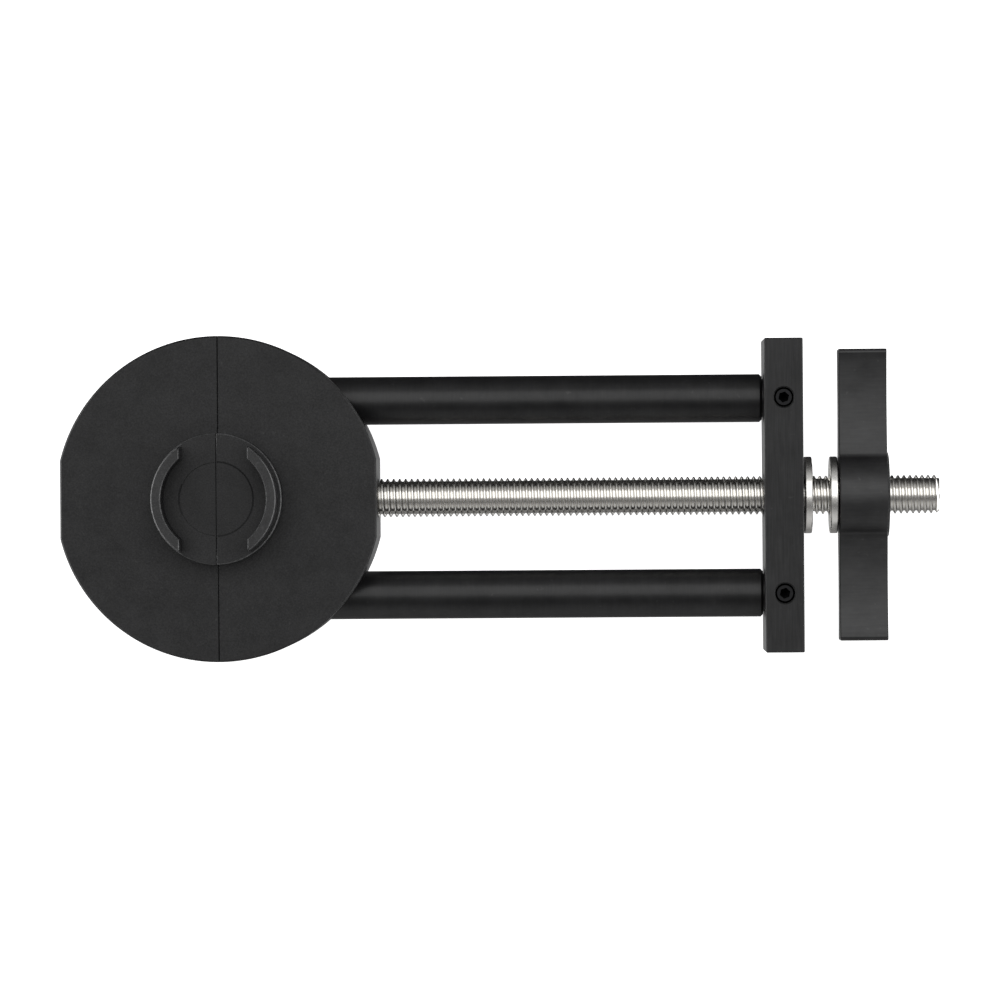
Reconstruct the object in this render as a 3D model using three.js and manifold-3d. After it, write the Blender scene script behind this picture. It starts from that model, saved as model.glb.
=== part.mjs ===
// A lens vise: two half-disc jaws on a pair of guide rods, drawn apart by a wing nut and screw.
// Millimetres, +Z up. Every piece is built with x measured from the seam between the closed jaws,
// y from the mid-plane and z from the resting plane, and the whole assembly is then moved so that
// the origin is at the bottom centre of its box.
import * as THREE from 'three';
import { mergeVertices } from 'three/addons/utils/BufferGeometryUtils.js';
import Module from 'manifold-3d';

const wasm = await Module();
wasm.setup();

// ---- Driving dimensions ----

// Clearances
const fitGap = 0.3; // between any two pieces that touch on the real tool
const jawSeam = 0.3; // between the two closed jaws

// Jaws
const jawDiameter = 67.5; // of the round outline of the closed pair
const jawFlatDepth = 1; // how far the two end flats cut into the round outline
const jawHeight = 20; // also the height of the end block, which rests on the same plane
const edgeChamfer = 0.4; // on the outlines of the jaws and the block

// Boss and lugs on the jaws
const bossDiameter = 27;
const bossHeight = 5.7; // from jaw top to boss floor
const lugLedge = 0.55; // from the boss edge in to the outer wall of a lug
const lugWall = 2.1;
const lugHeight = 8.1; // from boss floor to lug top
const lugChannel = 14; // clear width between the lug ends, across the seam
const recessDiameter = 15.2; // round recess in the boss floor
const recessDepth = 0.15;

// Guide rods
const rodDiameter = 10;
const rodSideWall = 8.5; // metal beside a rod at the widest part of the jaws
const rodEndWall = 5.4; // metal between a rod's blind end and the jaw's outline
const rodReach = 80.25; // clear length of rod from the closed jaws to the block
const rodChamfer = 0.5;
const spigotStep = 1; // how far a rod is turned down to its spigot, on the radius
const spigotSetback = 0.4; // from the block's outer face to the end of a spigot

// End block
const blockThickness = 8;
const blockEndWall = 8.25; // metal beside a spigot at each end of the block

// Lead screw, M8 coarse
const screwDiameter = 8;
const screwSeat = 24.75; // how deep the screw goes into the sliding jaw
const screwTail = 28.5; // from the block's outer face to the screw's free end
const screwChamfer = 0.8;

// Washers
const washerDiameter = 16;
const washerThickness = 1.6;
const blockWasherGap = 0.4; // from the block to the first washer

// Wing nut
const nutStandoff = 7.6; // from the block's outer face to the nut
const nutLength = 10;
const nutHubWall = 5;
const nutHubProud = 0.3; // how far the hub stands out of the wings' outer side
const nutHubStep = 0.2; // how much smaller that proud part is, on the radius
const wingSpan = 60.6;
const wingWaist = 6; // thickness beside the hub
const wingTip = 8.4; // thickness at the tips
const wingTipRound = 1;
const wingFlank = 28; // degrees, where a wing leaves the hub
const wingFillet = 2.5; // size of the fillet between hub and wing

// Socket set screws
const grubDiameter = 4;
const grubSocket = 2; // across the flats of the hexagon
const grubSocketDepth = 1.6;
const grubSunk = 0.5; // how far a set screw sits below the surface
const jawGrubInset = 7; // from the blind end of a rod to the set screw under it
const lockGrubInset = 10; // from the blind end of the lead screw to its set screw

// Smoothness
const plateSteps = 48; // sides of each round stretch of the jaws' outline
const lugSteps = 22; // sides along one lug
const bossSteps = 64;
const roundSteps = 32; // on rods, screw, washers and bores
const smallSteps = 20; // on set screws
const nutSteps = 12; // along each curve of the wing nut's section
const past = 1; // how far a cut runs past the face that it starts from

// ---- Places worked out from the driving dimensions ----

const jawRadius = jawDiameter / 2;
const jawReach = jawRadius - jawFlatDepth;
const seamHalf = jawSeam / 2;
const bossTop = jawHeight + bossHeight;
const lugTop = bossTop + lugHeight;
const lugOuterRadius = bossDiameter / 2 - lugLedge;
const lugInnerRadius = lugOuterRadius - lugWall;

const axisHeight = jawHeight / 2;
const rodRadius = rodDiameter / 2;
const rodY = jawRadius - rodSideWall - rodRadius;
const rodOuterY = rodY + rodRadius;
const rodSeat = Math.sqrt(jawRadius ** 2 - rodOuterY ** 2) - rodEndWall;
const rodX0 = -rodSeat;
const spigotRadius = rodRadius - spigotStep;

const blockX0 = jawReach + rodReach;
const blockX1 = blockX0 + blockThickness;
const blockMidX = blockX0 + blockThickness / 2;
const blockHalfWidth = rodY + spigotRadius + blockEndWall;
const rodShoulder = blockX0 - fitGap;
const spigotEnd = blockX1 - spigotSetback;

const screwRadius = screwDiameter / 2;
const screwX0 = jawReach - screwSeat;
const screwX1 = blockX1 + screwTail;
const runningRadius = screwRadius + fitGap;

const nutX0 = blockX1 + nutStandoff;
const nutX1 = nutX0 + nutLength;
const nutHubRadius = screwRadius + nutHubWall;
const blockWasherX0 = blockX1 + blockWasherGap;
const nutWasherX0 = nutX0 - fitGap - washerThickness;

const grubRadius = grubDiameter / 2;
const grubBore = grubRadius + fitGap;
const jawGrubX = rodX0 + jawGrubInset;
const lockGrubX = screwX0 + lockGrubInset;

const endReach = Math.max(screwX1, nutX1 + nutHubProud);
const originX = (endReach - jawReach) / 2;
const originZ = Math.min(0, axisHeight - nutHubRadius);

// ---- Materials ----

const finishes = {
  blackAnodised: { color: 0x2a2a2b, roughness: 0.55, metalness: 0.4 },
  blackRod: { color: 0x1d1d1e, roughness: 0.35, metalness: 0.5 },
  blackNut: { color: 0x2b2b2c, roughness: 0.45, metalness: 0.4 },
  blackSteel: { color: 0x1a1a1a, roughness: 0.4, metalness: 0.8 },
  brightSteel: { color: 0xc4c2bf, roughness: 0.3, metalness: 1 },
};

// ---- Solids ----

// A closed three.js geometry as a solid that can be joined and cut.
function solidOf(geometry) {
  geometry.deleteAttribute('normal');
  geometry.deleteAttribute('uv');
  const merged = mergeVertices(geometry, 1e-4);
  const vertProperties = new Float32Array(merged.attributes.position.array);
  const triVerts = new Uint32Array(merged.index.array);
  return new wasm.Manifold(new wasm.Mesh({ numProp: 3, vertProperties, triVerts }));
}

// A named mesh of a solid, in one of the finishes.
function piece(name, solid, finish) {
  const cut = solid.getMesh();
  const geometry = new THREE.BufferGeometry();
  geometry.setAttribute('position', new THREE.BufferAttribute(cut.vertProperties, 3));
  geometry.setIndex(new THREE.BufferAttribute(cut.triVerts, 1));
  geometry.computeVertexNormals();
  const mesh = new THREE.Mesh(geometry, new THREE.MeshStandardMaterial(finishes[finish]));
  mesh.name = name;
  return mesh;
}

// A round piece about a line along +X at height axisHeight: outline holds [x, radius] corners.
function turned(outline, y, steps) {
  const profile = outline.map(([x, radius]) => new THREE.Vector2(radius, x));
  const geometry = new THREE.LatheGeometry(profile, steps);
  geometry.rotateZ(-Math.PI / 2);
  geometry.translate(0, y, axisHeight);
  return solidOf(geometry);
}

// A plain cylinder along +X.
function barX(x0, x1, radius, y, steps = roundSteps) {
  return turned([[x0, 0], [x0, radius], [x1, radius], [x1, 0]], y, steps);
}

// A plain cylinder along +Z.
function barZ(x, y, z0, z1, radius, steps) {
  const geometry = new THREE.CylinderGeometry(radius, radius, z1 - z0, steps);
  geometry.rotateX(Math.PI / 2);
  geometry.translate(x, y, (z0 + z1) / 2);
  return solidOf(geometry);
}

// A flat outline in x and y, raised from z0 to z1.
function raised(shape, z0, z1) {
  const geometry = new THREE.ExtrudeGeometry(shape, { depth: z1 - z0, bevelEnabled: false });
  geometry.translate(0, 0, z0);
  return solidOf(geometry);
}

// A flat outline in x and y, raised from 0 to a depth, with both its end faces chamfered.
function chamfered(shape, depth) {
  const edge = { bevelThickness: edgeChamfer, bevelSize: edgeChamfer, bevelOffset: -edgeChamfer };
  const settings = { depth: depth - 2 * edgeChamfer, bevelSegments: 1, ...edge };
  return new THREE.ExtrudeGeometry(shape, settings).translate(0, 0, edgeChamfer);
}

// Turns a geometry drawn in x and y and raised along z to lie in y and z, raised along x.
function alongX(geometry, x0) {
  const toY = new THREE.Vector3(0, 1, 0);
  const toZ = new THREE.Vector3(0, 0, 1);
  const toX = new THREE.Vector3(1, 0, 0);
  geometry.applyMatrix4(new THREE.Matrix4().makeBasis(toY, toZ, toX));
  return geometry.translate(x0, 0, axisHeight);
}

// Points of an arc about the seam's centre, from one angle to another.
function arcPoints(radius, from, to, steps) {
  const points = [];
  for (let i = 0; i <= steps; i++) {
    const angle = from + ((to - from) * i) / steps;
    points.push(new THREE.Vector2(radius * Math.cos(angle), radius * Math.sin(angle)));
  }
  return points;
}

// Outline of the closed jaw pair: a circle whose two ends along x are cut to flats.
function plateOutline() {
  const flat = Math.acos(jawReach / jawRadius);
  const rear = arcPoints(jawRadius, flat, Math.PI - flat, plateSteps);
  const front = arcPoints(jawRadius, Math.PI + flat, 2 * Math.PI - flat, plateSteps);
  return new THREE.Shape([...rear, ...front]);
}

// Outline of one lug: a stretch of ring that ends where the channel begins.
function lugOutline(side) {
  const outerEnd = Math.acos(lugChannel / 2 / lugOuterRadius);
  const innerEnd = Math.acos(lugChannel / 2 / lugInnerRadius);
  const outer = arcPoints(lugOuterRadius, -outerEnd, outerEnd, lugSteps);
  const inner = arcPoints(lugInnerRadius, innerEnd, -innerEnd, lugSteps);
  return new THREE.Shape([...outer, ...inner].map((p) => new THREE.Vector2(side * p.x, p.y)));
}

// Everything on the far side of the seam from one jaw, to cut the closed pair in two.
function otherSide(side) {
  const room = 2 * jawDiameter;
  const block = new THREE.BoxGeometry(room, room, room);
  block.translate(side * (seamHalf - room / 2), 0, 0);
  return solidOf(block);
}

// One jaw before any bores: half of the plate and boss, with a lug on top.
function jawBlank(side) {
  const sunk = 1; // the boss and lug start this far inside the metal below them
  return solidOf(chamfered(plateOutline(), jawHeight))
    .add(barZ(0, 0, jawHeight - sunk, bossTop, bossDiameter / 2, bossSteps))
    .subtract(otherSide(side))
    .add(raised(lugOutline(side), bossTop - sunk, lugTop))
    .subtract(barZ(0, 0, bossTop - recessDepth, lugTop, recessDiameter / 2, bossSteps));
}

// A bore for a set screw, from below the part up to a given height.
function grubBoreUp(x, y, top) {
  return barZ(x, y, -past, top, grubBore, smallSteps);
}

function fixedJaw() {
  let solid = jawBlank(-1);
  for (const y of [rodY, -rodY]) {
    solid = solid
      .subtract(barX(rodX0 - fitGap, past, rodRadius + fitGap, y))
      .subtract(grubBoreUp(jawGrubX, y, axisHeight));
  }
  return solid;
}

function slidingJaw() {
  let solid = jawBlank(1)
    .subtract(barX(screwX0 - fitGap, jawReach + past, runningRadius, 0))
    .subtract(grubBoreUp(lockGrubX, 0, axisHeight));
  for (const y of [rodY, -rodY]) {
    solid = solid.subtract(barX(-past, jawReach + past, rodRadius + fitGap, y));
  }
  return solid;
}

// A guide rod, turned down at its right-hand end to a spigot that fits the block.
function guideRod(y) {
  const outline = [
    [rodX0, 0],
    [rodX0, rodRadius - rodChamfer],
    [rodX0 + rodChamfer, rodRadius],
    [rodShoulder - rodChamfer, rodRadius],
    [rodShoulder, rodRadius - rodChamfer],
    [rodShoulder, spigotRadius],
    [spigotEnd - rodChamfer, spigotRadius],
    [spigotEnd, spigotRadius - rodChamfer],
    [spigotEnd, 0],
  ];
  return turned(outline, y, roundSteps);
}

// The screw's outside diameter, without the thread.
function leadScrew() {
  const outline = [
    [screwX0, 0],
    [screwX0, screwRadius - screwChamfer],
    [screwX0 + screwChamfer, screwRadius],
    [screwX1 - screwChamfer, screwRadius],
    [screwX1, screwRadius - screwChamfer],
    [screwX1, 0],
  ];
  return turned(outline, 0, roundSteps);
}

function endBlock() {
  const halfHeight = jawHeight / 2;
  const face = new THREE.Shape();
  face.moveTo(-blockHalfWidth, -halfHeight);
  face.lineTo(blockHalfWidth, -halfHeight);
  face.lineTo(blockHalfWidth, halfHeight);
  face.lineTo(-blockHalfWidth, halfHeight);
  const plate = alongX(chamfered(face, blockThickness), blockX0);
  let solid = solidOf(plate).subtract(barX(blockX0 - past, blockX1 + past, runningRadius, 0));
  for (const y of [rodY, -rodY]) {
    solid = solid
      .subtract(barX(blockX0 - past, blockX1 + past, spigotRadius + fitGap, y))
      .subtract(barZ(blockMidX, y, axisHeight, jawHeight + past, grubBore, smallSteps));
  }
  return solid;
}

function washer(x0) {
  const x1 = x0 + washerThickness;
  const disc = barX(x0, x1, washerDiameter / 2, 0);
  return disc.subtract(barX(x0 - past, x1 + past, runningRadius, 0));
}

// One quarter of the nut's section, from the flat of a wing tip round to the top of the hub.
function nutQuarter() {
  const flank = THREE.MathUtils.degToRad(wingFlank);
  const tip = wingSpan / 2;
  const face = wingTip / 2;
  const waist = wingWaist / 2;
  const filletCorner = nutHubRadius + wingFillet;
  const filletEnd = nutHubRadius + 2 * wingFillet;
  const hollow = (filletEnd + tip - wingTipRound) / 2;
  const path = new THREE.Path();
  path.moveTo(tip, face - wingTipRound);
  path.quadraticCurveTo(tip, face, tip - wingTipRound, face);
  path.quadraticCurveTo(hollow, waist, filletEnd, waist);
  const hubX = nutHubRadius * Math.cos(flank);
  const hubY = nutHubRadius * Math.sin(flank);
  path.quadraticCurveTo(filletCorner, waist, hubX, hubY);
  path.absarc(0, 0, nutHubRadius, flank, Math.PI / 2, false);
  return path.getPoints(nutSteps);
}

// A wing nut with a round hub and two wings that are hollow-faced and thicken to rounded tips.
function wingNut() {
  const quarter = nutQuarter();
  const mirrored = quarter.map((p) => new THREE.Vector2(-p.x, p.y)).reverse();
  const upper = [...quarter, ...mirrored.slice(1)];
  const lower = upper.map((p) => new THREE.Vector2(-p.x, -p.y));
  const section = new THREE.Shape([...upper, ...lower]);
  const wings = new THREE.ExtrudeGeometry(section, { depth: nutLength, bevelEnabled: false });
  return solidOf(alongX(wings, nutX0))
    .add(barX(nutX0 + past, nutX1 + nutHubProud, nutHubRadius - nutHubStep, 0))
    .subtract(barX(nutX0 - past, nutX1 + nutHubProud + past, runningRadius, 0));
}

// A set screw standing on end from z0 to z1, with its hexagon socket at the open end.
function grub(x, y, z0, z1, socketUp) {
  const socketRadius = grubSocket / 2 / Math.cos(Math.PI / 6);
  const socketZ0 = socketUp ? z1 - grubSocketDepth : z0 - past;
  const socketZ1 = socketUp ? z1 + past : z0 + grubSocketDepth;
  return barZ(x, y, z0, z1, grubRadius, smallSteps)
    .subtract(barZ(x, y, socketZ0, socketZ1, socketRadius, 6));
}

const blockGrub = (y) =>
  grub(blockMidX, y, axisHeight + spigotRadius + fitGap, jawHeight - grubSunk, true);
const jawGrub = (y) => grub(jawGrubX, y, grubSunk, axisHeight - rodRadius - fitGap, false);
const lockGrub = () => grub(lockGrubX, 0, grubSunk, axisHeight - screwRadius - fitGap, false);

// ---- Assembly ----

const assembly = new THREE.Group();
assembly.position.set(-originX, 0, -originZ);

assembly.add(piece('fixed_jaw', fixedJaw(), 'blackAnodised'));
assembly.add(piece('sliding_jaw', slidingJaw(), 'blackAnodised'));
assembly.add(piece('lead_screw', leadScrew(), 'brightSteel'));
assembly.add(piece('end_block', endBlock(), 'blackAnodised'));
assembly.add(piece('block_washer', washer(blockWasherX0), 'brightSteel'));
assembly.add(piece('nut_washer', washer(nutWasherX0), 'brightSteel'));
assembly.add(piece('wing_nut', wingNut(), 'blackNut'));
assembly.add(piece('screw_lock_grub', lockGrub(), 'blackSteel'));

for (const [place, y] of [['rear', rodY], ['front', -rodY]]) {
  assembly.add(piece(`guide_rod_${place}`, guideRod(y), 'blackRod'));
  assembly.add(piece(`block_grub_${place}`, blockGrub(y), 'blackSteel'));
  assembly.add(piece(`jaw_grub_${place}`, jawGrub(y), 'blackSteel'));
}

export default assembly;
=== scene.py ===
"""A lens vise: half-disc jaws on two guide rods, spread by a wing nut on a lead screw."""

import math

import bmesh
import bpy
from mathutils import Matrix, Vector


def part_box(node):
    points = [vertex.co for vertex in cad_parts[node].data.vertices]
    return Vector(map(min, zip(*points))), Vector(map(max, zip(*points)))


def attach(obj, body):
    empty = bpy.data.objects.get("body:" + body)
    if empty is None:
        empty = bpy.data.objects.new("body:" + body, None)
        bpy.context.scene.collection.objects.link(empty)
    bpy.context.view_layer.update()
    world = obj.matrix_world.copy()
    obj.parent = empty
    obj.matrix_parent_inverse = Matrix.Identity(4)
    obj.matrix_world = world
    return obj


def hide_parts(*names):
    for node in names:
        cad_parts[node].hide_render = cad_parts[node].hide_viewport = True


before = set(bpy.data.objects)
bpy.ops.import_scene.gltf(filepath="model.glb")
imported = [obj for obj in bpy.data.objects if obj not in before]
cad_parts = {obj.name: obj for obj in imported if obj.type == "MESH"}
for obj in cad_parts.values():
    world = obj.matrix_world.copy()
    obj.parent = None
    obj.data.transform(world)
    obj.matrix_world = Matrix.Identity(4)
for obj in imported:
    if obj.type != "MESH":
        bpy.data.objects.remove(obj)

bl_info = {
    "name": "Lens Vise",
    "version": (1, 0, 0),
    "blender": (4, 5, 0),
    "location": "View3D > Sidebar > Lens Vise",
    "description": "Builds a lens vise piece by piece round its packed frame",
    "category": "Object",
}

MM = 0.001
FULL_TURN = 2 * math.pi
SPECK = 0.003 * MM  # shorter edges that a boolean leaves are joined up
TOUCH = 0.001 * MM  # places nearer than this are the same place
OVERLAP = 1 * MM  # how far a cutter, or a piece to be joined, runs past a face
SHARP_ANGLE = math.radians(12)  # edges flatter than this are shaded smooth
JAW_STEPS = 240
BAR_STEPS = 128
BORE_STEPS = 96
HOLE_STEPS = 48
# The last finish is not a real finish: it is a painted highlight for the broken edges, lighter than the
# black.
BLASTED, RUBBED, PAINTED_EDGE_HIGHLIGHT = range(3)  # a jaw's finishes, in order

# ---- Places taken from the frame ----

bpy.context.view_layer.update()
FIXED_LOW, FIXED_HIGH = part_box("fixed_jaw")
SLIDING_LOW, SLIDING_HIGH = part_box("sliding_jaw")
BLOCK_LOW, BLOCK_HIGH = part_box("end_block")
SCREW_LOW, SCREW_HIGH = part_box("lead_screw")
NUT_LOW, NUT_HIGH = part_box("wing_nut")

SEAM_X = (FIXED_HIGH.x + SLIDING_LOW.x) / 2
SEAM_HALF = (SLIDING_LOW.x - FIXED_HIGH.x) / 4  # the solids keep a wider gap than the real seam
JAW_RADIUS = FIXED_HIGH.y
JAW_TOP = BLOCK_HIGH.z
LUG_TOP = FIXED_HIGH.z
AXIS_Z = (SCREW_LOW.z + SCREW_HIGH.z) / 2
SCREW_RADIUS = (SCREW_HIGH.z - SCREW_LOW.z) / 2
SEAM_FOOT = Vector((SEAM_X, 0, 0))
AXIS_FOOT = Vector((0, 0, AXIS_Z))

PLACES = ("rear", "front")


def middle(node):
    """The middle of a CAD node's box."""
    low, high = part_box(node)
    return (low + high) / 2


# ---- Sizes and colours that a user would change ----


def length(name, description, millimetres):
    """A length property with its default in millimetres."""
    return bpy.props.FloatProperty(
        name=name, description=description, default=millimetres * MM, unit="LENGTH", precision=6
    )


def colour(name, description, srgb_hex):
    """A colour property with its default as an sRGB hex value."""
    return bpy.props.FloatVectorProperty(
        name=name, description=description, default=linear(srgb_hex)[:3], subtype="COLOR", size=3
    )


def linear(srgb_hex):
    """An sRGB hex value, such as 0x2a2a2b, as a linear colour with alpha 1."""
    channels = [(srgb_hex >> shift & 255) / 255 for shift in (16, 8, 0)]
    curved = [c / 12.92 if c <= 0.04045 else ((c + 0.055) / 1.055) ** 2.4 for c in channels]
    return (*curved, 1.0)


class JawSizes(bpy.types.PropertyGroup):
    """Details of the two jaws."""

    chamfer: length("Edge chamfer", "Chamfer on the jaws' outline", 0.35)
    seam_chamfer: length("Seam chamfer", "Broken edge along the seam", 0.12)
    boss_diameter: length("Boss diameter", "Raised round boss across both jaws", 27)
    boss_height: length("Boss height", "From the jaw top to the boss floor", 5.7)
    boss_chamfer: length("Boss chamfer", "Broken edge round the boss", 0.22)
    lug_ledge: length("Lug ledge", "From the boss edge in to the lug", 0.7)
    lug_wall: length("Lug wall", "Thickness of the curved lugs", 2.0)
    lug_channel: length("Lug channel", "Clear width between the lug ends", 14)
    lug_chamfer: length("Lug chamfer", "Broken edge round the lug tops", 0.22)
    floor_cut: length("Floor cut", "Depth of the milled channel in the boss floor", 0.14)
    recess_diameter: length("Recess diameter", "Round recess in the boss floor", 15.2)
    recess_depth: length("Recess depth", "Depth of the round recess", 0.25)
    bore_play: length("Bore play", "Radial gap of a rod or screw in its bore", 0.06)
    bore_end: length("Bore end", "Room past the end of a rod or the screw", 0.3)


class RodSizes(bpy.types.PropertyGroup):
    """Details of the guide rods."""

    chamfer: length("Rod chamfer", "Chamfer at the rod's shoulder and ends", 0.5)
    spigot_step: length("Spigot step", "How far the rod is turned down, on the radius", 1)
    shoulder_gap: length("Shoulder gap", "From the rod's shoulder to the block", 0.3)


class ScrewSizes(bpy.types.PropertyGroup):
    """The lead screw's thread."""

    pitch: length("Pitch", "Distance from one crest to the next", 1.25)
    depth: length("Thread depth", "From crest to root", 0.6)
    crest: length("Crest width", "Flat along the crest", 0.22)
    root: length("Root width", "Flat along the root", 0.3)
    end_chamfer: length("End chamfer", "Chamfer at the free end", 0.6)


class BlockSizes(bpy.types.PropertyGroup):
    """Details of the end block."""

    chamfer: length("Edge chamfer", "Chamfer round the block", 0.2)
    screw_play: length("Screw play", "Radial gap round the screw", 0.3)
    mouth: length("Bore mouth", "Countersink at the mouth of a bore", 0.25)


class WasherSizes(bpy.types.PropertyGroup):
    """Details of the plain washers."""

    play: length("Bore play", "Radial gap round the screw", 0.2)
    rounding: length("Edge rounding", "Rounding that stamping leaves", 0.25)


class NutSizes(bpy.types.PropertyGroup):
    """The wing nut's section and edges."""

    waist: length("Wing waist", "Wing thickness at its thinnest", 6)
    waist_place: length("Waist place", "From the screw's axis to the thinnest place", 19)
    flank_radius: length("Flank radius", "Radius of the hollow face of a wing", 50)
    tip: length("Wing tip", "Wing thickness at the tips", 8.4)
    tip_round: length("Tip rounding", "Radius of the wing tip corners", 0.8)
    fillet: length("Fillet", "Radius between hub and wing", 1.8)
    proud: length("Proud hub", "How far the hub stands out of the wings", 0.3)
    hub_step: length("Hub step", "How far the proud part is turned down, on the radius", 0.2)
    thread_play: length("Thread play", "Radial gap round the screw", 0.05)
    edge: length("Edge rounding", "Rounding along the outline", 0.2)
    mouth: length("Bore mouth", "Countersink at the mouth of the thread", 0.5)


class SetScrewSizes(bpy.types.PropertyGroup):
    """Details of the socket set screws."""

    diameter: length("Diameter", "Outside diameter", 4)
    socket: length("Socket", "Across the flats of the hexagon", 2)
    socket_depth: length("Socket depth", "Depth of the hexagon and its drill point", 2)
    chamfer: length("Chamfer", "Chamfer round both ends", 0.35)
    mouth: length("Hole mouth", "Countersink round the set screw's hole", 0.25)
    play: length("Hole play", "Radial gap round the set screw", 0.04)


class Finishes(bpy.types.PropertyGroup):
    """Colours of the finishes, with the painted highlight colour of the broken edges."""

    blasted: colour("Blasted anodised", "Jaws", 0x1A1A1B)
    rubbed: colour("Rubbed anodised", "Lug tops", 0x222223)
    # The broken-edge colour is a painted highlight: a grey lighter than the black that stands in for the
    # light caught by the chamfers of boss and lugs.
    painted_edge_highlight: colour("Painted edge highlight", "Broken edges of boss and lugs", 0x404041)
    milled: colour("Milled anodised", "End block", 0x1B1B1C)
    turned: colour("Turned anodised", "Guide rods", 0x151516)
    extruded: colour("Extruded anodised", "Wing nut", 0x1A1A1B)
    oxide: colour("Black oxide", "Set screws", 0x242425)
    steel: colour("Bright steel", "Lead screw", 0xE8E6E2)
    zinc: colour("Washer steel", "Washers", 0xF0EEEA)
    floor: colour("Floor", "Floor under the tool", 0xF4F4F4)


class StageSizes(bpy.types.PropertyGroup):
    """Camera and light."""

    eye_height: length("Eye height", "Camera above the jaw tops", 1030)
    eye_x: length("Eye position", "Camera along the rods, from the seam", 79.1)
    aim_x: length("Aim along the rods", "Point looked at, from the seam", 58.3)
    aim_y: length("Aim across the rods", "Point looked at, from the mid-plane", -0.6)
    lens: bpy.props.FloatProperty(
        name="Lens", description="Focal length in millimetres", default=179.6, unit="CAMERA"
    )
    roll: bpy.props.FloatProperty(
        name="Roll", description="Turn about the view", default=math.radians(0.4), unit="ROTATION"
    )
    key_power: bpy.props.FloatProperty(
        name="Overhead light", description="Power of the overhead softbox", default=8.2, unit="POWER"
    )
    softbox_width: length("Softbox width", "Along the rods", 1600)
    softbox_depth: length("Softbox depth", "Across the rods", 1300)
    softbox_height: length("Softbox height", "From the floor to the softbox", 1500)
    softbox_lean: bpy.props.FloatProperty(
        name="Softbox lean", description="Lean towards the rear", default=math.radians(18), unit="ROTATION"
    )
    tent_glow: bpy.props.FloatProperty(
        name="Tent glow", description="Strength of the light tent", default=1.2
    )
    side_glow: bpy.props.FloatProperty(
        name="Side glow", description="Grey level of the tent low at both ends", default=3.2
    )
    floor_glow: bpy.props.FloatProperty(
        name="Floor glow", description="Light that the pale floor gives of itself", default=1.0
    )


GROUPS = {
    "lens_vise_jaws": JawSizes,
    "lens_vise_rods": RodSizes,
    "lens_vise_screw": ScrewSizes,
    "lens_vise_block": BlockSizes,
    "lens_vise_washers": WasherSizes,
    "lens_vise_nut": NutSizes,
    "lens_vise_set_screws": SetScrewSizes,
    "lens_vise_finishes": Finishes,
    "lens_vise_stage": StageSizes,
}

# ---- Mesh work ----

AXES = {"X": Vector((1, 0, 0)), "Y": Vector((0, 1, 0)), "Z": Vector((0, 0, 1))}


def spun(profile, axis, centre, steps, closed=False, phase=0.0):
    """A solid of revolution about a line through centre, from a profile of (along, radius) corners.

    phase turns it by a share of a step, which keeps the edges of two rounds off each other.
    """
    bm = bmesh.new()
    turn = Matrix.Rotation(phase * FULL_TURN / steps, 3, axis)
    if axis == "X":
        places = [Vector((along, 0, radius)) for along, radius in profile]
    else:
        places = [Vector((radius, 0, along)) for along, radius in profile]
    corners = [bm.verts.new(centre + turn @ place) for place in places]
    ends = corners[1:] + corners[:1] if closed else corners[1:]
    edges = [bm.edges.new(pair) for pair in zip(corners, ends)]
    bmesh.ops.spin(
        bm, geom=corners + edges, cent=centre, axis=AXES[axis], angle=FULL_TURN, steps=steps, use_merge=True
    )
    bmesh.ops.remove_doubles(bm, verts=bm.verts, dist=0.1 * TOUCH)
    bmesh.ops.recalc_face_normals(bm, faces=bm.faces)
    return bm


def rod_of(axis, centre, start, end, radius, steps, flare=0.0, phase=0.5):
    """A plain cylinder along an axis, with its ends flared where it cuts the mouth of a bore."""
    wide = radius + flare
    profile = [(start, 0), (start, wide)]
    if flare:
        profile += [(start + flare, radius), (end - flare, radius)]
    return spun(profile + [(end, wide), (end, 0)], axis, centre, steps, phase=phase)


def box_of(low, high):
    """A block between two corners."""
    bm = bmesh.new()
    bmesh.ops.create_cube(bm, size=1)
    bmesh.ops.scale(bm, vec=Vector(high) - Vector(low), verts=bm.verts)
    bmesh.ops.translate(bm, vec=(Vector(high) + Vector(low)) / 2, verts=bm.verts)
    return bm


def cut_flat(bm, point, outward):
    """Cuts away what is past a plane and closes the face."""
    geometry = bm.verts[:] + bm.edges[:] + bm.faces[:]
    bmesh.ops.bisect_plane(
        bm, geom=geometry, dist=0.01 * TOUCH, plane_co=point, plane_no=outward, clear_outer=True
    )
    open_edges = [edge for edge in bm.edges if edge.is_boundary]
    bmesh.ops.holes_fill(bm, edges=open_edges, sides=0)
    bmesh.ops.recalc_face_normals(bm, faces=bm.faces)


def merge_flat(bm):
    """Joins the faces that lie in one plane."""
    bmesh.ops.dissolve_limit(bm, angle_limit=math.radians(0.05), verts=bm.verts, edges=bm.edges)


def bevel_where(bm, chosen, offset, segments=1):
    """Bevels the sharp edges for which chosen(edge) is true."""
    corner = math.radians(40)
    edges = [e for e in bm.edges if e.is_manifold and e.calc_face_angle() > corner and chosen(e)]
    bmesh.ops.bevel(
        bm, geom=edges, offset=offset, segments=segments, profile=0.5, affect="EDGES", material=-1
    )


def scratch_object(bm):
    """A bmesh as a passing object, for the boolean solver."""
    mesh = bpy.data.meshes.new("scratch")
    bm.to_mesh(mesh)
    bm.free()
    made = bpy.data.objects.new("scratch", mesh)
    bpy.context.scene.collection.objects.link(made)
    return made


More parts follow.
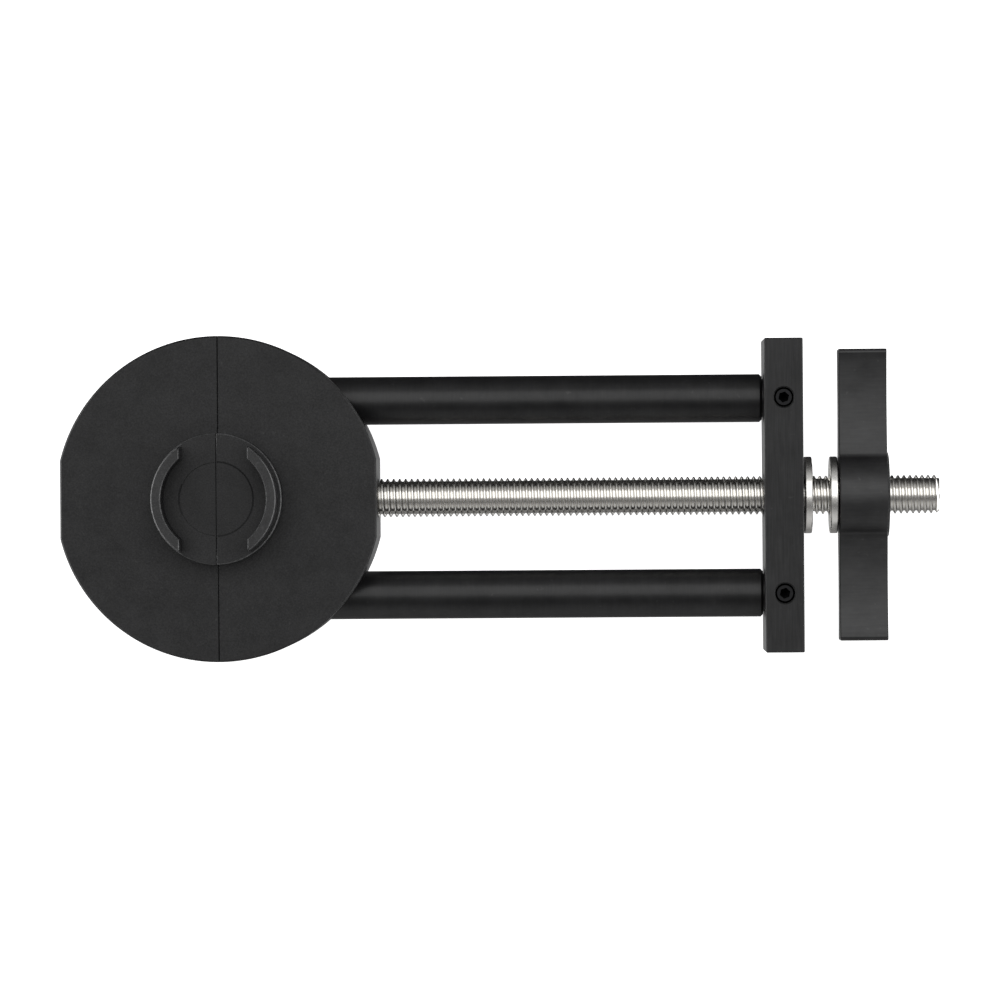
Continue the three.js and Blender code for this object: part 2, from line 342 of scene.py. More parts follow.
def combined(base, *tools):
    """base with each (operation, tool) applied in turn. Every bmesh given is used up."""
    for operation, tool in tools:
        target, cutter = scratch_object(base), scratch_object(tool)
        modifier = target.modifiers.new(operation, "BOOLEAN")
        modifier.operation = operation
        modifier.solver = "MANIFOLD"
        modifier.object = cutter
        bpy.context.view_layer.update()
        graph = bpy.context.evaluated_depsgraph_get()
        mesh = bpy.data.meshes.new_from_object(target.evaluated_get(graph))
        base = bmesh.new()
        base.from_mesh(mesh)
        bmesh.ops.remove_doubles(base, verts=base.verts, dist=SPECK)
        bmesh.ops.dissolve_degenerate(base, edges=base.edges, dist=SPECK)
        for spent in (target.data, cutter.data, mesh):
            bpy.data.meshes.remove(spent)
    return base


def finished(bm, name, body, nodes, slot_name, *finishes, pick=lambda face: 0):
    """Shows the bmesh as a piece that rides on a body. pick(face) is the number of its finish."""
    open_edges = [edge for edge in bm.edges if not edge.is_manifold]
    if open_edges:
        raise RuntimeError(f"{name} has {len(open_edges)} open edges")
    for face in bm.faces:
        face.material_index = pick(face)
    mesh = bpy.data.meshes.new(name)
    bm.to_mesh(mesh)
    bm.free()
    mesh.shade_smooth()
    mesh.set_sharp_from_angle(angle=SHARP_ANGLE)
    for material in finishes:
        mesh.materials.append(material)
    piece = bpy.data.objects.new(name, mesh)
    bpy.context.scene.collection.objects.link(piece)
    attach(piece, body)
    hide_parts(*nodes)


# ---- Materials ----


def add(tree, kind, inputs=None, **settings):
    """Adds a node. settings are its own values; inputs go to its sockets, as a value or a link."""
    node = tree.nodes.new("ShaderNode" + kind)
    for key, value in settings.items():
        setattr(node, key, value)
    for key, value in (inputs or {}).items():
        if isinstance(value, bpy.types.NodeSocket):
            tree.links.new(value, node.inputs[key])
        else:
            node.inputs[key].default_value = value
    return node


def new_material(name):
    """An empty node material with its Principled shader. Returns (material, tree, shader)."""
    material = bpy.data.materials.new(name)
    material.use_nodes = True
    tree = material.node_tree
    tree.nodes.clear()
    shader = add(tree, "BsdfPrincipled")
    add(tree, "OutputMaterial", {"Surface": shader.outputs["BSDF"]})
    return material, tree, shader


def noise_along(tree, spacing, detail=3.0, rough=0.6):
    """Noise whose lumps are spacing = (x, y, z) metres apart on the piece."""
    where = add(tree, "TexCoord").outputs["Object"]
    scale = Vector([1 / step for step in spacing])
    mapped = add(tree, "Mapping", {"Vector": where, "Scale": scale}).outputs["Vector"]
    noise = add(tree, "TexNoise", {"Vector": mapped, "Scale": 1.0, "Detail": detail, "Roughness": rough})
    return noise.outputs["Fac"]


def ranged(tree, value, low, high, start=0.3, end=0.7):
    """value, taken from start..end to low..high."""
    inputs = {"Value": value, "From Min": start, "From Max": end, "To Min": low, "To Max": high}
    return add(tree, "MapRange", inputs).outputs["Result"]


def shaded(tree, base, value):
    """The base colour, made lighter or darker by a value round 1."""
    scaled = add(tree, "VectorMath", {0: Vector(base[:3]), "Scale": value}, operation="SCALE")
    return scaled.outputs["Vector"]


def product(tree, first, second):
    """Two values multiplied."""
    return add(tree, "Math", {0: first, 1: second}, operation="MULTIPLY").outputs["Value"]


def raised_by(tree, height, distance, strength):
    """The surface normal of a height pattern."""
    inputs = {"Height": height, "Distance": distance, "Strength": strength}
    return add(tree, "Bump", inputs).outputs["Normal"]


def anodised(name, base, lay, roughness, contrast, bump, ior):
    """Dyed black oxide on aluminium: a thin glassy layer over whatever the tool marks were."""
    material, tree, shader = new_material(name)
    grain = noise_along(tree, lay)
    cloud = noise_along(tree, (6 * MM, 6 * MM, 6 * MM))
    speck = noise_along(tree, (1.1 * MM, 1.1 * MM, 1.1 * MM), detail=1.0)
    pits = ranged(tree, speck, 1.0, 1.35, 0.7, 0.8)
    tone = product(tree, ranged(tree, grain, 1 - contrast, 1 + contrast), ranged(tree, cloud, 0.86, 1.14))
    sheen = product(tree, product(tree, tone, pits), 0.5)
    sockets = shader.inputs
    tree.links.new(shaded(tree, base, tone), sockets["Base Color"])
    tree.links.new(sheen, sockets["Specular IOR Level"])
    tree.links.new(ranged(tree, cloud, roughness - 0.03, roughness + 0.03), sockets["Roughness"])
    tree.links.new(raised_by(tree, grain, 0.03 * MM, bump), sockets["Normal"])
    sockets["IOR"].default_value = ior
    return material


def blasted_anodised_aluminium():
    """Bead-blasted, then anodised black: an even fine sparkle with no direction, soft sheen."""
    base = bpy.context.scene.lens_vise_finishes.blasted
    grit = 0.28 * MM  # the blast pits are nearer 0.08 mm, drawn coarser so that they show
    return anodised("blasted_anodised_aluminium", base, (grit, grit, grit), 0.5, 0.22, 0.5, 1.4)


def rubbed_anodised_aluminium():
    """The same finish rubbed by work on the lug tops: a shade lighter and smoother."""
    base = bpy.context.scene.lens_vise_finishes.rubbed
    grit = 0.28 * MM
    return anodised("rubbed_anodised_aluminium", base, (grit, grit, grit), 0.44, 0.2, 0.3, 1.44)


def edge_highlight_anodised_aluminium():
    """Painted highlight on the broken edges of boss, lugs and seam: grey hairlines, lighter than the black,
    that stand in for the light these edges catch and pick out the boss and lugs.
    """
    base = bpy.context.scene.lens_vise_finishes.painted_edge_highlight
    highlight_grain = 0.7 * MM
    return anodised("edge_highlight_anodised_aluminium", base, (highlight_grain, highlight_grain, highlight_grain), 0.4, 0.35, 0.2, 1.5)


def milled_anodised_aluminium():
    """Milled, then anodised black: faint straight cutter lines run the length of the block."""
    base = bpy.context.scene.lens_vise_finishes.milled
    return anodised("milled_anodised_aluminium", base, (0.35 * MM, 7 * MM, 0.35 * MM), 0.48, 0.13, 0.2, 1.4)


def turned_anodised_aluminium():
    """Turned bar, anodised black: smooth, with hair-fine rings that only break up the highlight."""
    base = bpy.context.scene.lens_vise_finishes.turned
    return anodised("turned_anodised_aluminium", base, (0.35 * MM, 5 * MM, 5 * MM), 0.34, 0.05, 0.06, 1.43)


def extruded_anodised_aluminium():
    """Sawn from an extruded bar, anodised black: faint die lines run along the screw."""
    base = bpy.context.scene.lens_vise_finishes.extruded
    return anodised("extruded_anodised_aluminium", base, (6 * MM, 0.5 * MM, 0.5 * MM), 0.42, 0.07, 0.12, 1.54)


def steel(name, base, lay, roughness, spread, bump):
    """Bare steel: clear reflections, blurred along its scratches."""
    material, tree, shader = new_material(name)
    grain = noise_along(tree, lay, detail=4.0)
    tree.links.new(shaded(tree, base, ranged(tree, grain, 0.95, 1.02)), shader.inputs["Base Color"])
    tree.links.new(ranged(tree, grain, roughness - spread, roughness + spread), shader.inputs["Roughness"])
    tree.links.new(raised_by(tree, grain, 0.01 * MM, bump), shader.inputs["Normal"])
    shader.inputs["Metallic"].default_value = 1.0
    return material


def rolled_steel():
    """Rolled stainless thread: bright burnished crests and flanks."""
    base = bpy.context.scene.lens_vise_finishes.steel
    return steel("rolled_steel", base, (0.5 * MM, 2 * MM, 2 * MM), 0.2, 0.03, 0.08)


def stamped_steel():
    """Stamped and tumbled stainless washers: satin, with small random scratches."""
    base = bpy.context.scene.lens_vise_finishes.zinc
    return steel("stamped_steel", base, (0.4 * MM, 0.4 * MM, 0.4 * MM), 0.24, 0.04, 0.1)


def black_oxide_steel():
    """Black oxide on alloy steel: dark, slightly oily, with a dull metallic glint."""
    base = bpy.context.scene.lens_vise_finishes.oxide
    return steel("black_oxide_steel", base, (0.3 * MM, 0.3 * MM, 0.3 * MM), 0.38, 0.06, 0.3)


def painted_board():
    """A matt white painted table top that glows a little, as one under a light tent does."""
    settings = bpy.context.scene.lens_vise_stage
    base = bpy.context.scene.lens_vise_finishes.floor
    material, tree, shader = new_material("matt_white_painted_board")
    soft = noise_along(tree, (400 * MM, 400 * MM, 400 * MM), detail=1.0)
    tree.links.new(shaded(tree, base, ranged(tree, soft, 0.985, 1.0)), shader.inputs["Base Color"])
    shader.inputs["Roughness"].default_value = 0.9
    shader.inputs["Emission Color"].default_value = (1, 1, 1, 1)
    shader.inputs["Emission Strength"].default_value = settings.floor_glow
    return material


# ---- Pieces ----


def jaw_plate(sizes, side, reach):
    """Half of the round plate with its boss, cut off at the seam and at its end flat."""
    boss_top = JAW_TOP + sizes.boss_height
    boss_radius = sizes.boss_diameter / 2
    recess = sizes.recess_diameter / 2
    profile = [
        (0, 0),
        (0, JAW_RADIUS),
        (JAW_TOP, JAW_RADIUS),
        (JAW_TOP, boss_radius),
        (boss_top, boss_radius),
        (boss_top, recess),
        (boss_top - sizes.recess_depth, recess - sizes.recess_depth / 2),
        (boss_top - sizes.recess_depth, 0),
    ]
    bm = spun(profile, "Z", SEAM_FOOT, JAW_STEPS)
    cut_flat(bm, SEAM_FOOT + Vector((side * SEAM_HALF, 0, 0)), Vector((-side, 0, 0)))
    cut_flat(bm, Vector((reach, 0, 0)), Vector((side, 0, 0)))

    def on_seam(edge):
        return all(abs(abs(v.co.x - SEAM_X) - SEAM_HALF) < TOUCH for v in edge.verts)

    def at_height(edge, heights):
        return any(all(abs(v.co.z - z) < TOUCH for v in edge.verts) for z in heights)

    def outer(edge):
        return min((v.co - SEAM_FOOT).xy.length for v in edge.verts) > boss_radius + OVERLAP

    bevel_where(bm, lambda e: not on_seam(e) and at_height(e, (0, JAW_TOP)) and outer(e), sizes.chamfer)
    bevel_where(bm, lambda e: not on_seam(e) and at_height(e, (boss_top,)), sizes.boss_chamfer)
    bevel_where(bm, lambda e: on_seam(e) and at_height(e, (JAW_TOP, boss_top)), sizes.seam_chamfer)
    merge_flat(bm)
    return bm


def lug(sizes, side):
    """One curved lug: a stretch of ring that ends at the channel, with its top edges broken."""
    outer = sizes.boss_diameter / 2 - sizes.lug_ledge
    inner = outer - sizes.lug_wall
    foot = JAW_TOP + sizes.boss_height - OVERLAP
    profile = [(foot, inner), (foot, outer), (LUG_TOP, outer), (LUG_TOP, inner)]
    bm = spun(profile, "Z", SEAM_FOOT, JAW_STEPS, closed=True, phase=0.5)
    cut_flat(bm, SEAM_FOOT + Vector((side * sizes.lug_channel / 2, 0, 0)), Vector((-side, 0, 0)))
    bevel_where(bm, lambda e: min(v.co.z for v in e.verts) > LUG_TOP - TOUCH, sizes.lug_chamfer)
    return bm


def jaw(name, side, tools):
    """A whole jaw: plate, lug and every bore. The fixed one (side -1) has the milled channel too."""
    sizes = bpy.context.scene.lens_vise_jaws
    reach = FIXED_LOW.x if side < 0 else SLIDING_HIGH.x
    boss_top = JAW_TOP + sizes.boss_height
    steps = [("UNION", lug(sizes, side))] + [("DIFFERENCE", tool) for tool in tools]
    if side < 0:
        half = sizes.lug_channel / 2 + 0.02 * MM  # just clear of the lug's flat ends
        wide = sizes.boss_diameter
        low = (SEAM_X - half, -wide, boss_top - sizes.floor_cut)
        high = (SEAM_X + half, wide, LUG_TOP + OVERLAP)
        steps.insert(0, ("DIFFERENCE", box_of(low, high)))
    return combined(jaw_plate(sizes, side, reach), *steps)


def set_screw_hole(centre, mouth, end):
    """The hole of a set screw, from its countersunk mouth on a face to its end."""
    sizes = bpy.context.scene.lens_vise_set_screws
    radius = sizes.diameter / 2 + sizes.play
    out = math.copysign(1, mouth - end)
    wide = radius + sizes.mouth
    profile = [
        (mouth + out * OVERLAP, 0),
        (mouth + out * OVERLAP, wide),
        (mouth, wide),
        (mouth - out * sizes.mouth, radius),
        (end, radius),
        (end, 0),
    ]
    return spun(profile, "Z", Vector((centre.x, centre.y, 0)), HOLE_STEPS, phase=0.5)


def jaw_finish(face):
    """Rubbed on the lug tops, a painted highlight colour on the broken edges of boss, lugs and seam, blasted
    elsewhere.
    """
    centre = face.calc_center_median()
    slanted = 0.3 < face.normal.z < 0.95
    sizes = bpy.context.scene.lens_vise_jaws
    on_rim = (centre - SEAM_FOOT).xy.length > sizes.recess_diameter / 2 + OVERLAP
    on_seam = abs(centre.x - SEAM_X) < SEAM_HALF + sizes.seam_chamfer
    # Slanted broken edges on the boss, lugs and seam get the painted highlight colour.
    if slanted and centre.z > JAW_TOP + OVERLAP and (on_rim or on_seam):
        return PAINTED_EDGE_HIGHLIGHT
    return RUBBED if centre.z > LUG_TOP - 0.3 * MM else BLASTED


class LENSVISE_OT_jaws(bpy.types.Operator):
    """Build the fixed and the sliding jaw, with their boss halves, lugs and bores."""

    bl_idname = "lensvise.jaws"
    bl_label = "Jaws"

    def execute(self, context):
        sizes = context.scene.lens_vise_jaws
        finishes = (blasted_anodised_aluminium(), rubbed_anodised_aluminium(), edge_highlight_anodised_aluminium())
        rods = [middle(f"guide_rod_{place}") for place in PLACES]
        rod_low, rod_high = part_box("guide_rod_rear")
        bore = (rod_high.z - rod_low.z) / 2 + sizes.bore_play
        feet = [Vector((0, rod.y, AXIS_Z)) for rod in rods]
        start = rod_low.x - sizes.bore_end
        blind = [rod_of("X", foot, start, SEAM_X, bore, BORE_STEPS) for foot in feet]
        grubs = [middle(f"jaw_grub_{place}") for place in PLACES]
        holes = [set_screw_hole(grub, 0, AXIS_Z) for grub in grubs]
        made = jaw("fixed_jaw", -1, blind + holes)
        slot = "black_anodised_blasted"
        finished(made, "fixed_jaw_body", "frame", ["fixed_jaw"], slot, *finishes, pick=jaw_finish)

        out = SLIDING_HIGH.x + OVERLAP
        through = [rod_of("X", foot, SEAM_X, out, bore, BORE_STEPS) for foot in feet]
        start = SCREW_LOW.x - sizes.bore_end
        screw = rod_of("X", AXIS_FOOT, start, out, SCREW_RADIUS + sizes.bore_play, BORE_STEPS)
        lock = set_screw_hole(middle("screw_lock_grub"), 0, AXIS_Z)
        made = jaw("sliding_jaw", 1, through + [screw, lock])
        finished(made, "sliding_jaw_body", "slider", ["sliding_jaw"], slot, *finishes, pick=jaw_finish)
        return {"FINISHED"}


class LENSVISE_OT_rods(bpy.types.Operator):
    """Turn the two guide rods with their chamfered shoulders and spigots."""

    bl_idname = "lensvise.rods"
    bl_label = "Guide rods"

    def execute(self, context):
        sizes = context.scene.lens_vise_rods
        finish = turned_anodised_aluminium()
        for place in PLACES:
            low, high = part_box(f"guide_rod_{place}")
            radius = (high.z - low.z) / 2
            spigot = radius - sizes.spigot_step
            cut = sizes.chamfer
            shoulder = BLOCK_LOW.x - sizes.shoulder_gap
            profile = [
                (low.x, 0),
                (low.x, radius - cut),
                (low.x + cut, radius),
                (shoulder - cut, radius),
                (shoulder, radius - cut),
                (shoulder, spigot),
                (high.x - cut, spigot),
                (high.x, spigot - cut),
                (high.x, 0),
            ]
            foot = Vector((0, (low.y + high.y) / 2, AXIS_Z))
            made = spun(profile, "X", foot, BAR_STEPS)
            name = f"guide_rod_{place}"
            finished(made, f"{name}_bar", "frame", [name], "black_anodised_rod", finish)
        return {"FINISHED"}


class LENSVISE_OT_screw(bpy.types.Operator):
    """Cut the lead screw's right-hand thread as one closed helical surface."""

    bl_idname = "lensvise.screw"
    bl_label = "Lead screw"

    def execute(self, context):
        sizes = context.scene.lens_vise_screw
        bm = self.threaded(sizes)
        self.chamfer_end(bm, sizes)
        cut_flat(bm, Vector((SCREW_HIGH.x, 0, 0)), Vector((1, 0, 0)))
        cut_flat(bm, Vector((SCREW_LOW.x, 0, 0)), Vector((-1, 0, 0)))
        finish = rolled_steel()
        finished(bm, "lead_screw_thread", "slider", ["lead_screw"], "bright_steel_thread", finish)
        return {"FINISHED"}

    def threaded(self, sizes):
        """One turn of the thread's profile, repeated along the screw and joined up."""
        steps = 40
        spare = 2  # turns past each end, cut off later
        root = SCREW_RADIUS - sizes.depth
        flank = (sizes.pitch - sizes.crest - sizes.root) / 2
        start = SCREW_LOW.x - spare * sizes.pitch
        bm = bmesh.new()
        profile = [
            (0, root),
            (sizes.root, root),
            (sizes.root + flank, SCREW_RADIUS),
            (sizes.root + flank + sizes.crest, SCREW_RADIUS),
            (sizes.pitch, root),
        ]
        corners = [bm.verts.new((start + along, 0, AXIS_Z + radius)) for along, radius in profile]
        edges = [bm.edges.new(pair) for pair in zip(corners, corners[1:])]
        bmesh.ops.spin(
            bm,
            geom=corners + edges,
            cent=AXIS_FOOT,
            axis=AXES["X"],
            dvec=Vector((sizes.pitch / steps, 0, 0)),
            angle=FULL_TURN,
            steps=steps,
        )
        turns = 1
        while turns < (SCREW_HIGH.x - SCREW_LOW.x) / sizes.pitch + 2 * spare:
            copied = bmesh.ops.duplicate(bm, geom=bm.verts[:] + bm.edges[:] + bm.faces[:])["geom"]
            moved = [part for part in copied if isinstance(part, bmesh.types.BMVert)]
            bmesh.ops.translate(bm, vec=(turns * sizes.pitch, 0, 0), verts=moved)
            turns *= 2
        bmesh.ops.remove_doubles(bm, verts=bm.verts, dist=10 * TOUCH)
        bmesh.ops.recalc_face_normals(bm, faces=bm.faces)
        return bm

    def chamfer_end(self, bm, sizes):
        """Draws the thread in to a cone at the free end."""
        for vertex in bm.verts:
            limit = SCREW_RADIUS - max(0.0, vertex.co.x - (SCREW_HIGH.x - sizes.end_chamfer))
            across = (vertex.co - AXIS_FOOT) * Vector((0, 1, 1))
            if across.length > limit:
                across *= limit / across.length
                vertex.co = Vector((vertex.co.x, across.y, AXIS_Z + across.z))


class LENSVISE_OT_block(bpy.types.Operator):
    """Mill the end block, with its chamfers, rod sockets, screw hole and set screw holes."""

    bl_idname = "lensvise.block"
    bl_label = "End block"

    def execute(self, context):
        sizes = context.scene.lens_vise_block
        step = context.scene.lens_vise_rods.spigot_step
        play = context.scene.lens_vise_jaws.bore_play
        blank = box_of(BLOCK_LOW, BLOCK_HIGH)
        bevel_where(blank, lambda e: True, sizes.chamfer)
        start, end = BLOCK_LOW.x - sizes.mouth, BLOCK_HIGH.x + sizes.mouth
        flare = 2 * sizes.mouth
        screw = SCREW_RADIUS + sizes.screw_play
        tools = [rod_of("X", AXIS_FOOT, start, end, screw, BORE_STEPS, flare)]
        for place in PLACES:
            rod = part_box(f"guide_rod_{place}")
            spigot = (rod[1].z - rod[0].z) / 2 - step + play
            foot = Vector((0, middle(f"guide_rod_{place}").y, AXIS_Z))
            tools.append(rod_of("X", foot, start, end, spigot, BORE_STEPS, flare))
            grub = middle(f"block_grub_{place}")
            tools.append(set_screw_hole(grub, BLOCK_HIGH.z, AXIS_Z))
        made = combined(blank, *[("DIFFERENCE", tool) for tool in tools])
        finish = milled_anodised_aluminium()
        finished(made, "end_block_body", "frame", ["end_block"], "black_anodised_milled", finish)
        return {"FINISHED"}


class LENSVISE_OT_washers(bpy.types.Operator):
    """Stamp the two plain washers."""

    bl_idname = "lensvise.washers"
    bl_label = "Washers"

    def execute(self, context):
        sizes = context.scene.lens_vise_washers
        finish = stamped_steel()
        hole = SCREW_RADIUS + sizes.play
        for node, body in (("block_washer", "inner_washer"), ("nut_washer", "outer_washer")):
            low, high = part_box(node)
            rim = (high.z - low.z) / 2
            profile = [(low.x, hole), (low.x, rim), (high.x, rim), (high.x, hole)]
            made = spun(profile, "X", AXIS_FOOT, BAR_STEPS, closed=True)
            bevel_where(made, lambda e: True, sizes.rounding, segments=3)
            finished(made, f"{node}_ring", body, [node], "bright_steel_washer", finish)
        return {"FINISHED"}


class LENSVISE_OT_wing_nut(bpy.types.Operator):
    """Shape the wing nut: a constant section along the screw, with a proud hub and a bore."""

    bl_idname = "lensvise.wing_nut"
    bl_label = "Wing nut"

    def execute(self, context):
        sizes = context.scene.lens_vise_nut
        hub = (NUT_HIGH.z - NUT_LOW.z) / 2
        face = NUT_HIGH.x - sizes.proud
        bm = bmesh.new()
        self.quarter(bm, sizes, hub)
        about = Matrix.Translation(-AXIS_FOOT)
        for axis in ("Y", "Z"):
            geometry = bm.verts[:] + bm.edges[:]
            bmesh.ops.mirror(bm, geom=geometry, matrix=about, merge_dist=TOUCH, axis=axis)
        bmesh.ops.remove_doubles(bm, verts=bm.verts, dist=TOUCH)
        section = bmesh.ops.contextual_create(bm, geom=bm.edges[:])["faces"]
        grown = bmesh.ops.extrude_face_region(bm, geom=section)["geom"]
        moved = [part for part in grown if isinstance(part, bmesh.types.BMVert)]
        bmesh.ops.translate(bm, vec=(face - NUT_LOW.x, 0, 0), verts=moved)
        bmesh.ops.holes_fill(bm, edges=[e for e in bm.edges if e.is_boundary], sides=0)
        bmesh.ops.recalc_face_normals(bm, faces=bm.faces)
        ends = (NUT_LOW.x, face)
        bevel_where(
            bm,
            lambda e: any(all(abs(v.co.x - x) < TOUCH for v in e.verts) for x in ends),
            sizes.edge,
            segments=2,
        )
        root, proud = NUT_LOW.x + OVERLAP, hub - sizes.hub_step
        collar = rod_of("X", AXIS_FOOT, root, NUT_HIGH.x, proud, 144)
        bevel_where(collar, lambda e: min(v.co.x for v in e.verts) > face, sizes.edge, segments=2)
        start, end = NUT_LOW.x - sizes.mouth, NUT_HIGH.x + sizes.mouth
        thread = SCREW_RADIUS + sizes.thread_play
        bore = rod_of("X", AXIS_FOOT, start, end, thread, BORE_STEPS, 2 * sizes.mouth)
        made = combined(bm, ("UNION", collar), ("DIFFERENCE", bore))
        finish = extruded_anodised_aluminium()
        finished(made, "wing_nut_body", "nut", ["wing_nut"], "black_anodised_nut", finish)
        return {"FINISHED"}

    def quarter(self, bm, sizes, hub):
        """The section from the end of a wing to the top of the hub, as a chain of edges."""
        span = NUT_HIGH.y
        tip, corner, fillet = sizes.tip / 2, sizes.tip_round, sizes.fillet

        def flank(y):
            return sizes.waist / 2 + (y - sizes.waist_place) ** 2 / (2 * sizes.flank_radius)

        def fillet_centre(y):
            slope = (y - sizes.waist_place) / sizes.flank_radius
            return Vector((0, y, flank(y))) + fillet * Vector((0, -slope, 1)).normalized()

        near, far = hub / 2, sizes.waist_place
        for _ in range(40):  # halves the stretch where the fillet can touch both hub and flank
            foot_y = (near + far) / 2
            near, far = (foot_y, far) if fillet_centre(foot_y).length < hub + fillet else (near, foot_y)
        centre = fillet_centre(foot_y)

        def at(y, z):
            return Vector((NUT_LOW.x, y, AXIS_Z + z))

        def swept(last, about, angle, steps, drift=Vector()):
            turned = bmesh.ops.spin(
                bm, geom=[last], cent=about, axis=AXES["X"], angle=angle, dvec=drift, steps=steps
            )
            return [part for part in turned["geom_last"] if isinstance(part, bmesh.types.BMVert)][0]

        end = bm.verts.new(at(span, 0))
        side = bm.verts.new(at(span, tip - corner))
        bm.edges.new((end, side))
        top = swept(side, at(span - corner, tip - corner), math.pi / 2, 8)
        start = top.co.copy()
        steps = 24
        foot = swept(top, AXIS_FOOT, 0, steps, (at(foot_y, flank(foot_y)) - start) / steps)
        for vertex in bm.verts:
            if foot_y - SPECK < vertex.co.y < start.y - SPECK:
                vertex.co.z = AXIS_Z + flank(vertex.co.y)
        down = Vector((0, foot_y, flank(foot_y))) - centre
        turn = math.atan2(down.z, down.y) - math.atan2(-centre.z, -centre.y)
        shoulder = swept(foot, at(centre.y, centre.z), -(turn % FULL_TURN), 10)
        swept(shoulder, AXIS_FOOT, math.atan2(centre.y, centre.z), 36)


class LENSVISE_OT_set_screws(bpy.types.Operator):
    """Make the socket set screws in the block and under the jaws."""

    bl_idname = "lensvise.set_screws"
    bl_label = "Set screws"

    def execute(self, context):
        finish = black_oxide_steel()
        bodies = {"screw_lock_grub": "slider"}
        for place in PLACES:
            bodies[f"block_grub_{place}"] = "frame"
            bodies[f"jaw_grub_{place}"] = "frame"
        for node, body in bodies.items():
            made = self.set_screw(context.scene.lens_vise_set_screws, node, up="block" in node)
            finished(made, f"{node}_screw", body, [node], "black_oxide_steel", finish)
        return {"FINISHED"}

    def set_screw(self, sizes, node, up):
        """A chamfered plug with a hexagon socket at its open end."""
        low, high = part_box(node)
        centre = Vector(((low.x + high.x) / 2, (low.y + high.y) / 2, 0))
        radius, cut = sizes.diameter / 2, sizes.chamfer
        profile = [
            (low.z, 0),
            (low.z, radius - cut),
            (low.z + cut, radius),
            (high.z - cut, radius),
            (high.z, radius - cut),
            (high.z, 0),
        ]
        plug = spun(profile, "Z", centre, HOLE_STEPS)
        across = sizes.socket / 2 / math.cos(math.pi / 6)
        point = 0.6 * across  # the drill point at the bottom of the socket
        if up:
            start, end = high.z - sizes.socket_depth, high.z + OVERLAP
            cutter = [(start, 0), (start + point, across), (end, across), (end, 0)]
        else:
            start, end = low.z - OVERLAP, low.z + sizes.socket_depth
            cutter = [(start, 0), (start, across), (end - point, across), (end, 0)]
        return combined(plug, ("DIFFERENCE", spun(cutter, "Z", centre, 6, phase=0.3)))


# ---- Stage ----


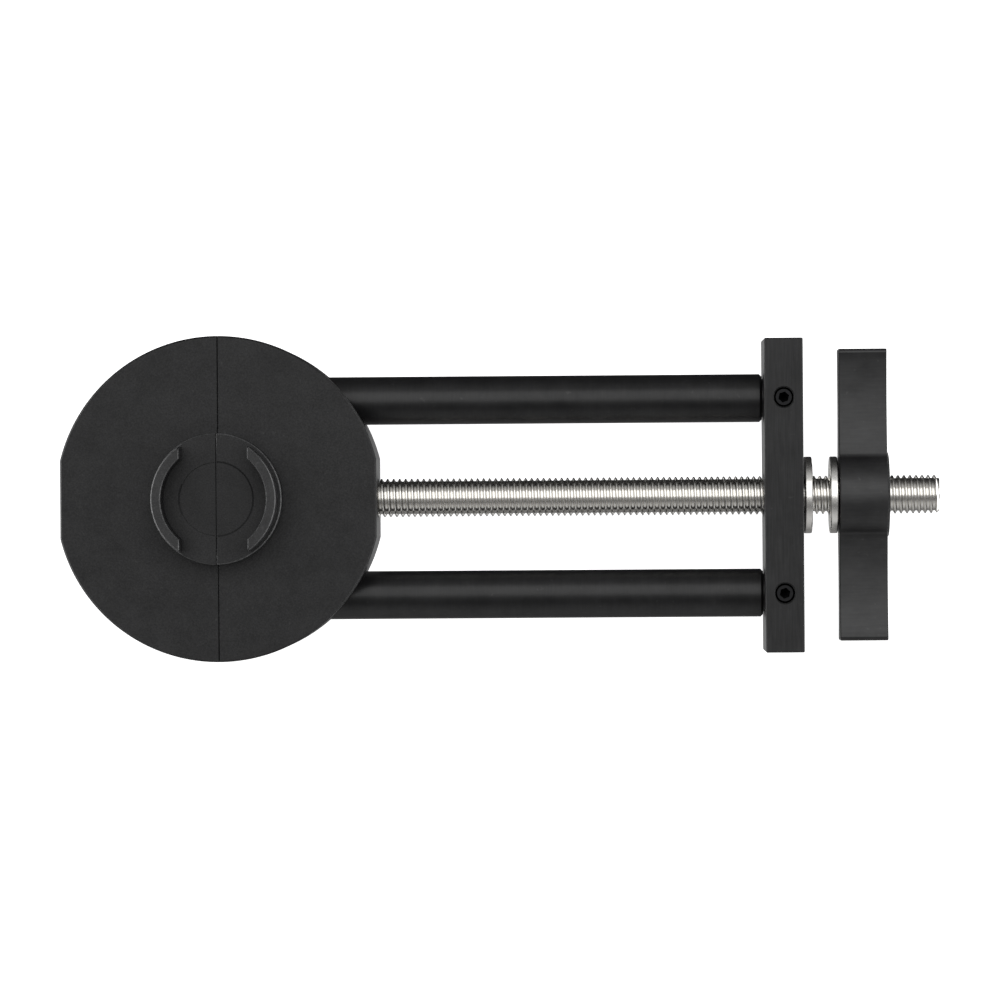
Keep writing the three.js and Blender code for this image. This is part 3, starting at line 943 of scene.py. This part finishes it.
class LENSVISE_OT_stage(bpy.types.Operator):
    """Set the camera, the pale floor, the overhead softbox and the soft surroundings."""

    bl_idname = "lensvise.stage"
    bl_label = "Stage"

    def execute(self, context):
        settings = context.scene.lens_vise_stage
        context.scene.view_settings.view_transform = "Standard"
        self.camera(context.scene, settings)
        self.floor(context.scene)
        self.softbox(context.scene, settings)
        self.surroundings(context.scene, settings)
        return {"FINISHED"}

    def camera(self, scene, settings):
        """Looks almost straight down, with the eye a little nearer the block than its aim."""
        eye = Vector((SEAM_X + settings.eye_x, settings.aim_y, JAW_TOP + settings.eye_height))
        target = Vector((SEAM_X + settings.aim_x, settings.aim_y, JAW_TOP))
        forward = (target - eye).normalized()
        upright = Vector((math.sin(settings.roll), math.cos(settings.roll), 0))
        right = forward.cross(upright).normalized()
        up = right.cross(forward)
        data = bpy.data.cameras.new("camera")
        data.lens = settings.lens
        data.clip_start, data.clip_end = 0.01, 50
        camera = bpy.data.objects.new("camera", data)
        turn = Matrix((right, up, -forward)).transposed().to_4x4()
        camera.matrix_world = Matrix.Translation(eye) @ turn
        scene.collection.objects.link(camera)
        scene.camera = camera

    def floor(self, scene):
        """A wide round table top that the tool rests on."""
        bm = bmesh.new()
        just_under = Matrix.Translation((0, 0, -0.05 * MM))
        radius = 4000 * MM
        bmesh.ops.create_circle(bm, cap_ends=True, segments=96, radius=radius, matrix=just_under)
        mesh = bpy.data.meshes.new("floor")
        bm.to_mesh(mesh)
        bm.free()
        mesh.materials.append(painted_board())
        floor = bpy.data.objects.new("floor", mesh)
        floor.visible_glossy = False
        scene.collection.objects.link(floor)

    def softbox(self, scene, settings):
        """A large soft light overhead, leaning towards the rear."""
        data = bpy.data.lights.new("overhead", "AREA")
        data.shape = "RECTANGLE"
        data.size, data.size_y = settings.softbox_width, settings.softbox_depth
        data.energy = settings.key_power
        lamp = bpy.data.objects.new("overhead", data)
        raised = Matrix.Translation((0, 0, settings.softbox_height))
        lamp.matrix_world = Matrix.Rotation(-settings.softbox_lean, 4, "X") @ raised
        scene.collection.objects.link(lamp)

    def surroundings(self, scene, settings):
        """A light tent whose grey level goes by direction. To the camera itself it is plain white."""
        world = bpy.data.worlds.new("tent")
        world.use_nodes = True
        tree = world.node_tree
        tree.nodes.clear()
        way = add(tree, "TexCoord").outputs["Generated"]
        split = add(tree, "SeparateXYZ", {"Vector": way}).outputs
        angle = add(tree, "Math", {0: split["Y"], 1: split["Z"]}, operation="ARCTAN2").outputs["Value"]
        turn = ranged(tree, angle, 0.0, 1.0, -math.pi, math.pi)
        ramp = add(tree, "ValToRGB", {"Fac": turn})
        # Grey level by the direction's angle in degrees: 0 is overhead and 90 is the rear.
        stops = {-180: 0.3, -160: 0.2, -130: 0.15, -100: 0.4, -80: 0.5, -60: 0.4, -35: 0.12, -20: 0.25}
        stops.update({0: 0.4, 30: 0.45, 60: 0.4, 90: 0.08, 120: 0.02, 160: 0.02, 180: 0.3})
        elements = ramp.color_ramp.elements
        while len(elements) > 1:
            elements.remove(elements[-1])
        elements[0].position = 0.0
        for index, (degrees, value) in enumerate(stops.items()):
            element = elements.new(0.5 + degrees / 360) if index else elements[0]
            element.color = (value, value, value, 1)
        sideways = add(tree, "Math", {0: split["X"]}, operation="ABSOLUTE").outputs["Value"]
        low_down = {0: split["Z"], 1: -0.4, 2: sideways}
        low_sides = add(tree, "Math", low_down, operation="MULTIPLY_ADD").outputs["Value"]
        share = ranged(tree, low_sides, 0.0, 1.0, 0.75, 1.0)
        bright = (settings.side_glow, settings.side_glow, settings.side_glow, 1)
        mixed = add(tree, "MixRGB", {"Fac": share, "Color1": ramp.outputs["Color"], "Color2": bright})
        seen = add(tree, "LightPath").outputs["Is Camera Ray"]
        tent = add(tree, "MixRGB", {"Fac": seen, "Color1": mixed.outputs["Color"], "Color2": (1, 1, 1, 1)})
        glow = add(tree, "Background", {"Color": tent.outputs["Color"], "Strength": settings.tent_glow})
        add(tree, "OutputWorld", {"Surface": glow.outputs["Background"]})
        scene.world = world


# ---- Panel, registration and the run ----

OPERATORS = (
    LENSVISE_OT_stage,
    LENSVISE_OT_jaws,
    LENSVISE_OT_rods,
    LENSVISE_OT_screw,
    LENSVISE_OT_block,
    LENSVISE_OT_washers,
    LENSVISE_OT_wing_nut,
    LENSVISE_OT_set_screws,
)


class LENSVISE_PT_panel(bpy.types.Panel):
    """Lists the lens vise's pieces and their sizes."""

    bl_idname = "LENSVISE_PT_panel"
    bl_label = "Lens Vise"
    bl_space_type = "VIEW_3D"
    bl_region_type = "UI"
    bl_category = "Lens Vise"

    def draw(self, context):
        column = self.layout.column(align=True)
        for operator in OPERATORS:
            column.operator(operator.bl_idname)
        for pointer, group in GROUPS.items():
            box = self.layout.box()
            box.label(text=group.__doc__)
            for key in group.__annotations__:
                box.prop(getattr(context.scene, pointer), key)


def register():
    for group in GROUPS.values():
        bpy.utils.register_class(group)
    for pointer, group in GROUPS.items():
        setattr(bpy.types.Scene, pointer, bpy.props.PointerProperty(type=group))
    for operator in OPERATORS:
        bpy.utils.register_class(operator)
    bpy.utils.register_class(LENSVISE_PT_panel)


def unregister():
    bpy.utils.unregister_class(LENSVISE_PT_panel)
    for operator in reversed(OPERATORS):
        bpy.utils.unregister_class(operator)
    for pointer in GROUPS:
        delattr(bpy.types.Scene, pointer)
    for group in reversed(GROUPS.values()):
        bpy.utils.unregister_class(group)


def main():
    register()
    for operator in OPERATORS:
        name = operator.bl_idname.split(".")[1]
        getattr(bpy.ops.lensvise, name)()


if __name__ == "__main__":
    main()
